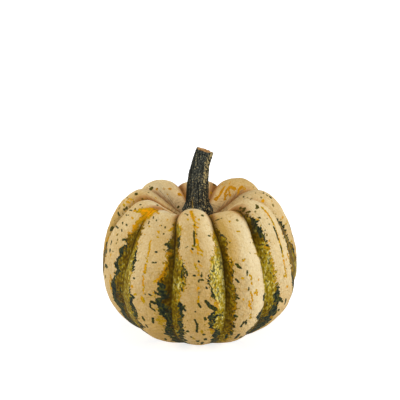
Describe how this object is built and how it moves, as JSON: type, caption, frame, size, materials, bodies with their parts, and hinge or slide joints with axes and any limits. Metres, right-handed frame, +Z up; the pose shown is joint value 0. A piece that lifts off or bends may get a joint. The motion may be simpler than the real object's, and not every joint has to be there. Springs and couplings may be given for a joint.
{
  "type": "sweet dumpling squash",
  "caption": "Whole small winter squash, squat and deeply ribbed, cream with mottled green grooves, with a dry curved stem; rests on a small flat spot.",
  "frame": {"origin": "on the surface that the squash rests on, under the middle of its overall box", "axes": "+Z up along the fruit's axis to the stem; the most regular rib faces -Y; +X is on the right when that rib is seen from the front, and the stem's tip leans towards it"},
  "size_m": [0.1226, 0.1252, 0.118],
  "materials": {
    "rind": "smooth satin rind, slightly waxy: cream ground, dark green and olive mottling in the grooves, yellow and orange flecks",
    "stem_bark": "dry matte stem, dark grey-green, ridged and warty, with tan flecks and a tan cut end"
  },
  "bodies": {
    "root": {"fruit": "rind", "stem": "stem_bark"}
  },
  "joints": []
}
